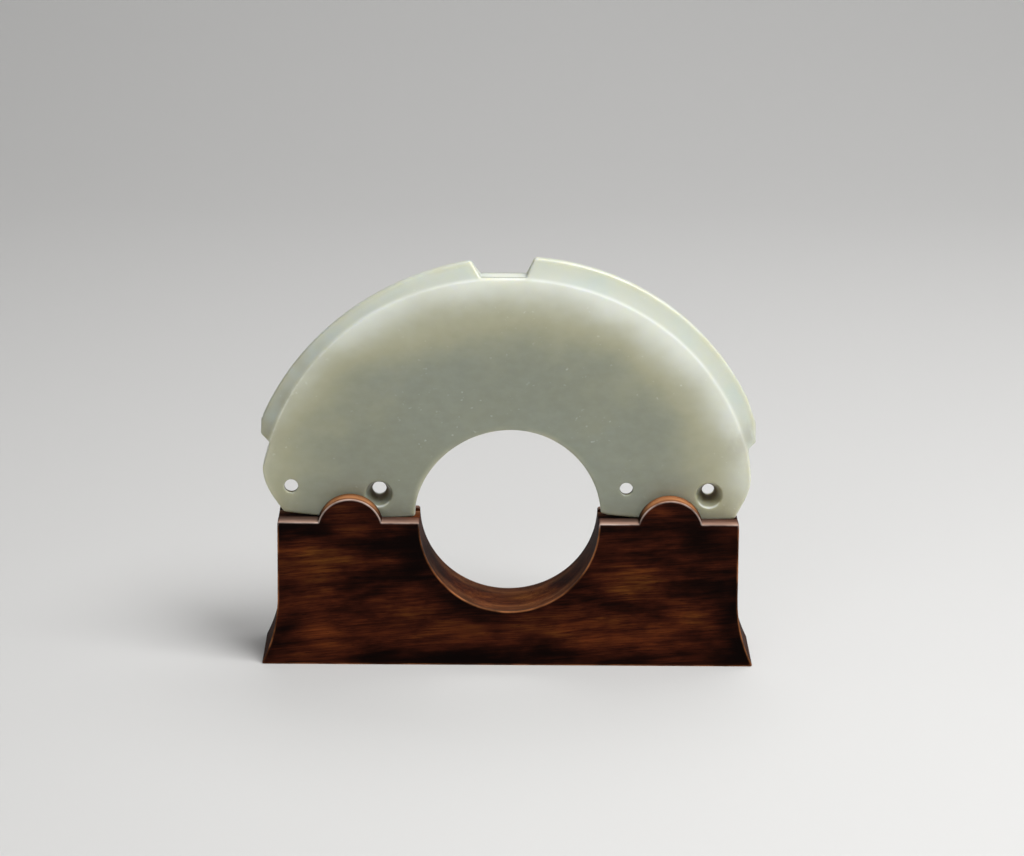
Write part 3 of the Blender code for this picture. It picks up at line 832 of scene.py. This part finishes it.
def jadeMaterial(groups, middle):
    fixed = {
        "IOR": 1.6,
        "Subsurface Weight": jadeFinish["scatter"],
        "Subsurface Radius": jadeFinish["scatterReach"],
        "Subsurface Scale": jadeFinish["scatterScale"] * mm,
    }
    material, tree, shader = newMaterial("celadonJade", fixed)
    place = tree.nodes.new("ShaderNodeTexCoord").outputs["Object"]

    cloud, slope, share = shortForms(tree, jadeFinish, groups["cloud"], place)
    strength = jadeFinish["strength"]
    # a grey-green middle, a warm band and a pale rim, all with soft uneven borders; the pale rim is partly
    # painted light
    drift = share(maths(tree, "SUBTRACT", cloud("drift"), 0.5), strength["drift"])
    pale = maths(tree, "ADD", attributeOf(tree, "pale"), drift, True)
    cool = share(cloud("cool"), strength["cool"])
    colour = mixed(tree, cool, jadeFinish["body"], jadeFinish["cool"])
    colour = mixed(tree, slope("warm", pale), colour, jadeFinish["warm"])
    colour = mixed(tree, slope("pale", pale), colour, jadeFinish["pale"])
    fromRidge = attributeOf(tree, "fromRidge")
    # the flange is painted darker where the rim is less lit, a painted shade strongest on the left
    flange = mixed(tree, slope("flange", pale), jadeFinish["flangePaintedShade"], jadeFinish["flange"])
    flange = mixed(tree, share(cloud("flange"), strength["flange"]), flange, jadeFinish["flangeCloud"])
    colour = mixed(tree, slope("pastRidge", fromRidge), colour, flange)
    # fine cloudiness and gathered white flecks
    fine = cloud("fine")
    colour = mixed(tree, share(fine, strength["fine"]), colour, jadeFinish["fleckAndHighlight"])
    flecks = share(cloud("flecks"), cloud("gathered"))
    colour = mixed(tree, share(flecks, strength["flecks"]), colour, jadeFinish["fleckAndHighlight"])
    # the ridge has a thin painted highlight line, broken here and there, and the edges are warmer
    ridgeHighlight = share(slope("ridge", maths(tree, "ABSOLUTE", fromRidge)), cloud("ridge"))
    colour = mixed(tree, share(ridgeHighlight, strength["ridge"]), colour, jadeFinish["fleckAndHighlight"])
    edgeSockets = {"Vector": place, "Middle": middle, "Width": jadeFinish["edgeWidth"]}
    edge = placed(tree, groups["edge"], edgeSockets)["Mask"]
    edgeShare = share(share(edge, cloud("edge")), strength["edge"])
    colour = mixed(tree, edgeShare, colour, jadeFinish["edge"])
    # the floor of the notch, where it faces up, is painted darker, a painted shade
    facing = partOf(tree, tree.nodes.new("ShaderNodeNewGeometry").outputs["Normal"], "Z")
    floor = share(share(slope("floorFacing", facing), edge), slope("floorReach", fromRidge))
    colour = mixed(tree, share(floor, strength["notch"]), colour, jadeFinish["notch"])
    # the funnels are stained brown deep down, darkest near the bore where painted shade is added to the
    # stain, and have a painted glint on the lower lip
    depth = attributeOf(tree, "ownCut")
    inHole = slope("stainMm", depth)
    patchy = share(attributeOf(tree, "stain"), cloud("stain"))
    stained = maths(tree, "ADD", share(inHole, strength["stain"]), patchy, True)
    colour = mixed(tree, stained, colour, jadeFinish["stain"])
    # darkest near the bore: brown stain together with painted shade
    deep = share(slope("deepStainMm", depth), strength["deepStainAndShade"])
    colour = mixed(tree, deep, colour, jadeFinish["deepStainAndShade"])
    # a painted glint on the lower lip, where it faces up
    lip = share(share(slope("lipTopMm", depth), slope("lipFootMm", depth)), slope("lipFacing", facing))
    colour = mixed(tree, share(lip, strength["lip"]), colour, jadeFinish["fleckAndHighlight"])
    polish = {"Roughness": jadeFinish["roughness"], "Spread": jadeFinish["spread"]}
    handling = placed(tree, groups["handling"], polish | {"Vector": place, "Seed": 2.0})
    relief = {
        "Height": maths(tree, "ADD", handling["Height"], share(fine, strength["fineRelief"])),
        "Strength": strength["relief"],
        "Distance": jadeFinish["bumpHeight"] * mm,
    }
    bump = put(tree, "ShaderNodeBump", relief)
    rough = maths(tree, "ADD", handling["Roughness"], share(inHole, strength["stainRoughness"]))
    tree.links.new(colour, shader["Base Color"])
    tree.links.new(rough, shader["Roughness"])
    tree.links.new(bump.outputs[0], shader["Normal"])
    return material


woodFinish = {
    "black": (0.0030, 0.0010, 0.0007),
    "brown": (0.040, 0.0080, 0.0034),
    "ember": (0.150, 0.034, 0.0085),
    "golden": (0.150, 0.052, 0.0095),
    "rubbedAndLit": (0.80, 0.35, 0.145),
    "endGrain": (0.020, 0.0055, 0.0030),
    "dustyAndSheen": (0.50, 0.31, 0.235),
    "dustyEdgeAndGlint": (0.80, 0.62, 0.54),
    "edge": (0.55, 0.21, 0.08),
    "roughness": 0.37,
    "spread": 0.16,
    "driftScale": 18.0,
    "grainDrift": (0, 5, 4),
    "grainSlant": 4,
    "bumpHeight": 0.03,
    "edgeWidth": 0.5,
    "handledAndLitWidth": 6.5,
    # as for the jade
    "clouds": {
        "broad": ((26, 12, 10), 1.0, 4.0, 0.36, 0.64),
        "streak": ((17, 1.8, 1.2), 2.0, 5.0, 0.28, 0.72),
        "fine": ((8, 0.5, 0.28), 3.0, 4.0, 0.26, 0.74),
        "pores": ((2.6, 0.35, 0.13), 4.0, 1.0, 0.62, 0.72),
        "edge": ((9, 6, 6), 6.0, 3.0, 0.38, 0.66),
        "border": ((24, 20, 12), 7.0, 2.0, 0.35, 0.60),
        "golden": ((22, 14, 9), 8.0, 3.0, 0.36, 0.70),
    },
    "slopes": {
        "brown": (0.05, 0.42),
        "ember": (0.28, 0.92),
        "onFace": (0.02, 0.3),
        "border": (1.0, 10.0, 1.0, 0.0),
        "endGrain": (0.3, 0.95),
        "upward": (0.35, 0.85),
        "handledMm": (30, 36, 0.30, 1.0),
        "ledgeFromMm": (34.0, 34.6),
        "ledgeToMm": (35.4, 36.2, 1.0, 0.0),
        "lugAcrossMm": (4.8, 7.0, 1.0, 0.3),
        "ledgeAcrossMm": (4.6, 6.8, 0.5, 1.0),
        "dustyFromMm": (33.5, 34.5),
        "inWall": (0.3, 1.2),
    },
    # the share that a mask adds, and the base that it is added to
    "light": {"figure": (0.68, 0.26), "broad": (0.80, 0.20), "border": (0.75, 0.25)},
    "wearAndLight": {"figure": (0.5, 0.5), "edge": (0.85, 0.15)},
    "strength": {
        "streak": 0.55,
        "fine": 0.45,
        "border": 0.62,
        "pores": 0.75,
        "endGrain": 0.6,
        "edge": 0.85,
        "poreRoughness": 0.2,
        "wallRoughness": 0.25,
        "peelRelief": 0.5,
        "fineRelief": 0.5,
        "relief": 0.35,
    },
}


def woodMaterial(groups):
    material, tree, shader = newMaterial("darkHardwood", {"IOR": 1.5, "Specular IOR Level": 0.03})
    place = tree.nodes.new("ShaderNodeTexCoord").outputs["Object"]
    # the grain runs along the stand and wanders a little
    wandering = {"Vector": place, "Scale": woodFinish["driftScale"], "Detail": 1.5}
    drift = put(tree, "ShaderNodeTexNoise", wandering).outputs["Color"]
    reach = tuple(length * mm for length in woodFinish["grainDrift"])
    shift = vectorMaths(tree, "MULTIPLY", vectorMaths(tree, "SUBTRACT", drift, (0.5, 0.5, 0.5)), reach)
    slanted = {"Vector": vectorMaths(tree, "ADD", place, shift)}
    slanted["Angle"] = math.radians(woodFinish["grainSlant"])
    along = put(tree, "ShaderNodeVectorRotate", slanted, rotation_type="Y_AXIS").outputs[0]
    cloud, slope, share = shortForms(tree, woodFinish, groups["cloud"], along)
    strength = woodFinish["strength"]

    def based(mask, parts):
        return maths(tree, "ADD", share(mask, parts[0]), parts[1])

    def without(mask):
        return maths(tree, "SUBTRACT", 1.0, mask)

    fine, pores = cloud("fine"), cloud("pores")
    figure = maths(tree, "ADD", share(cloud("streak"), strength["streak"]), share(fine, strength["fine"]))
    parts = woodFinish["light"]
    light = share(based(figure, parts["figure"]), based(cloud("broad"), parts["broad"]))
    # the faces darken unevenly towards their borders
    rimGap = attributeOf(tree, "rimGap")
    onFace = slope("onFace", rimGap)
    border = share(slope("border", rimGap), onFace)
    border = share(border, based(cloud("border", place), parts["border"]))
    light = share(light, without(share(border, strength["border"])))
    colour = mixed(tree, slope("brown", light), woodFinish["black"], woodFinish["brown"])
    ember = mixed(tree, cloud("golden"), woodFinish["ember"], woodFinish["golden"])
    colour = mixed(tree, slope("ember", light), colour, ember)
    colour = mixed(tree, share(pores, strength["pores"]), colour, woodFinish["black"])
    # the end grain is darker
    normal = tree.nodes.new("ShaderNodeNewGeometry").outputs["Normal"]
    endGrain = slope("endGrain", maths(tree, "ABSOLUTE", partOf(tree, normal, "X")))
    colour = mixed(tree, share(endGrain, strength["endGrain"]), colour, woodFinish["endGrain"])
    # what faces up is paler, partly from rubbing and dust and partly painted light and sheen from above and
    # behind: the lugs' tops beside the jade, painted lit towards the jade and darker outwards, and the
    # ledges with dust and a painted sheen further out, painted dark beside the jade
    nearSockets = {"Vector": place, "Middle": 0.0, "Width": woodFinish["handledAndLitWidth"]}
    near = placed(tree, groups["edge"], nearSockets)
    height = partOf(tree, place, "Z")
    across = maths(tree, "ABSOLUTE", partOf(tree, place, "Y"))
    upward = share(slope("upward", partOf(tree, normal, "Z")), near["Mask"])
    handledAndLit = share(upward, slope("handledMm", height))
    wornAndLit = share(handledAndLit, based(figure, woodFinish["wearAndLight"]["figure"]))
    onLedge = share(slope("ledgeFromMm", height), slope("ledgeToMm", height))
    lugShade = share(slope("lugAcrossMm", across), without(onLedge))
    ledgeShade = share(slope("ledgeAcrossMm", across), onLedge)
    wornAndLit = share(wornAndLit, maths(tree, "ADD", lugShade, ledgeShade))
    rubbedAndLit = mixed(tree, onLedge, woodFinish["rubbedAndLit"], woodFinish["dustyAndSheen"])
    colour = mixed(tree, wornAndLit, colour, rubbedAndLit)
    # all the edges are paler too, in broken lines: partly rubbed wear, partly a painted highlight, which
    # turns to a pale painted glint on the ledges and lugs
    edgeSockets = {"Vector": place, "Middle": 0.0, "Width": woodFinish["edgeWidth"]}
    edge = placed(tree, groups["edge"], edgeSockets)["Mask"]
    brokenWearAndGlint = share(edge, based(cloud("edge", place), woodFinish["wearAndLight"]["edge"]))
    edgeWearAndGlint = mixed(tree, slope("dustyFromMm", height), woodFinish["edge"], woodFinish["dustyEdgeAndGlint"])
    colour = mixed(tree, share(brokenWearAndGlint, strength["edge"]), colour, edgeWearAndGlint)
    polish = {"Roughness": woodFinish["roughness"], "Spread": woodFinish["spread"]}
    handling = placed(tree, groups["handling"], polish | {"Vector": place, "Seed": 9.0})
    # the walls of the cut-out are less polished than the faces
    plainer = share(share(slope("inWall", near["Gap"]), without(onFace)), strength["wallRoughness"])
    rough = maths(tree, "ADD", handling["Roughness"], share(pores, strength["poreRoughness"]))
    rough = maths(tree, "ADD", rough, plainer)
    peel = share(handling["Height"], strength["peelRelief"])
    relief = maths(tree, "ADD", peel, share(fine, strength["fineRelief"]))
    relief = {
        "Height": maths(tree, "SUBTRACT", relief, pores),
        "Strength": strength["relief"],
        "Distance": woodFinish["bumpHeight"] * mm,
    }
    bump = put(tree, "ShaderNodeBump", relief)
    tree.links.new(colour, shader["Base Color"])
    tree.links.new(rough, shader["Roughness"])
    tree.links.new(bump.outputs[0], shader["Normal"])
    return material


def makeJade(tree, groups):
    middle = (jadeLow.y + jadeHigh.y) / 2
    material = jadeMaterial(groups, middle)
    inputs = {"Middle": middle, "Seed": 3.0, "Material": material}
    inputs |= {"Wave Height": jade["waveHeight"] * mm, "Wave Size": jade["waveSize"] * mm}
    piece = liftedPlate("jadeHuang", jadePlan(), tree, inputs)
    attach(piece, "root")
    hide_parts("jade_huang")


def makeStand(tree, groups):
    material = woodMaterial(groups)
    inputs = {"Middle": 0.0, "Seed": 11.0, "Material": material}
    inputs |= {"Wave Height": stand["waveHeight"] * mm, "Wave Size": stand["waveSize"] * mm}
    piece = cutGroove(liftedPlate("woodStand", standPlan(), tree, inputs))
    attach(piece, "root")
    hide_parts("wood_stand")


# in metres and watts; each light has its place, its size and its power
studio = {
    "floorColour": (0.70, 0.695, 0.685),
    "floorRoughness": 0.6,
    "sheetFront": -1.6,
    "sheetBend": 0.5,
    "bendRadius": 0.6,
    "sheetTop": 2.2,
    "sheetHalf": 2.2,
    "worldStrength": 0.13,
    "target": (0, 0, 0.05),
    "key": ((0.36, -0.24, 0.76), (0.55, 0.40), 7.2),
    "fill": ((-0.24, -0.80, 0.45), (0.6, 0.5), 1.1),
    "rim": ((0.20, 0.42, 0.72), (0.7, 0.35), 1.6),
}


def areaLight(name, place, size, power):
    light = bpy.data.lights.new(name, "AREA")
    light.shape = "RECTANGLE"
    light.size, light.size_y = size
    light.energy = power
    lamp = bpy.data.objects.new(name, light)
    lamp.location = place
    lamp.rotation_mode = "QUATERNION"
    lamp.rotation_quaternion = (Vector(studio["target"]) - Vector(place)).to_track_quat("-Z", "Y")
    bpy.context.scene.collection.objects.link(lamp)


def makeStudio():
    # one pale sheet: flat under the object, then curving up behind it
    bend, radius, half = studio["sheetBend"], studio["bendRadius"], studio["sheetHalf"]
    turns = np.radians(np.arange(6, 91, 6))
    profile = [(studio["sheetFront"], 0), (bend, 0)]
    profile += [(bend + radius * math.sin(turn), radius - radius * math.cos(turn)) for turn in turns]
    profile += [(bend + radius, studio["sheetTop"])]
    vertices = [(side * half, y, z) for y, z in profile for side in (-1, 1)]
    faces = [(2 * i, 2 * i + 1, 2 * i + 3, 2 * i + 2) for i in range(len(profile) - 1)]
    mesh = bpy.data.meshes.new("studioSheet")
    mesh.from_pydata(vertices, [], faces)
    mesh.shade_smooth()
    finish = {"Base Color": colourOf(studio["floorColour"]), "Roughness": studio["floorRoughness"]}
    mesh.materials.append(newMaterial("studioPaper", finish)[0])
    sheet = bpy.data.objects.new("studioSheet", mesh)
    bpy.context.scene.collection.objects.link(sheet)
    world = bpy.data.worlds.new("studioWorld")
    world.use_nodes = True
    background = world.node_tree.nodes["Background"]
    background.inputs["Color"].default_value = (1, 1, 1, 1)
    background.inputs["Strength"].default_value = studio["worldStrength"]
    bpy.context.scene.world = world
    for name in ("key", "fill", "rim"):
        areaLight(name + "Light", *studio[name])
    bpy.context.scene.view_settings.view_transform = "Standard"


# the photograph's camera, fitted to the outlines: place and lens in millimetres, roll in radians
shot = {
    "place": (-7.666, -869.007, 304.568),
    "direction": (0.00930, 0.96166, -0.27409),
    "roll": 0.009,
    "lens": 131.4,
    "sensor": 36,
    "clip": (0.05, 20),
}


def makeCamera():
    camera = bpy.data.cameras.new("shotCamera")
    camera.sensor_width = shot["sensor"]
    camera.lens = shot["lens"]
    camera.clip_start, camera.clip_end = shot["clip"]
    eye = bpy.data.objects.new("shotCamera", camera)
    bpy.context.scene.collection.objects.link(eye)
    eye.rotation_mode = "QUATERNION"
    eye.location = Vector(shot["place"]) * mm
    facing = Vector(shot["direction"]).to_track_quat("-Z", "Y")
    eye.rotation_quaternion = facing @ Euler((0, 0, shot["roll"])).to_quaternion()
    bpy.context.scene.camera = eye


print("plate tree and shader groups")
plate = plateTree()
groups = {"cloud": makeCloudGroup(), "edge": makeEdgeGroup(), "handling": makeHandlingGroup()}
print("jade")
makeJade(plate, groups)
print("stand")
makeStand(plate, groups)
print("studio and camera")
makeStudio()
makeCamera()
bpy.context.view_layer.update()
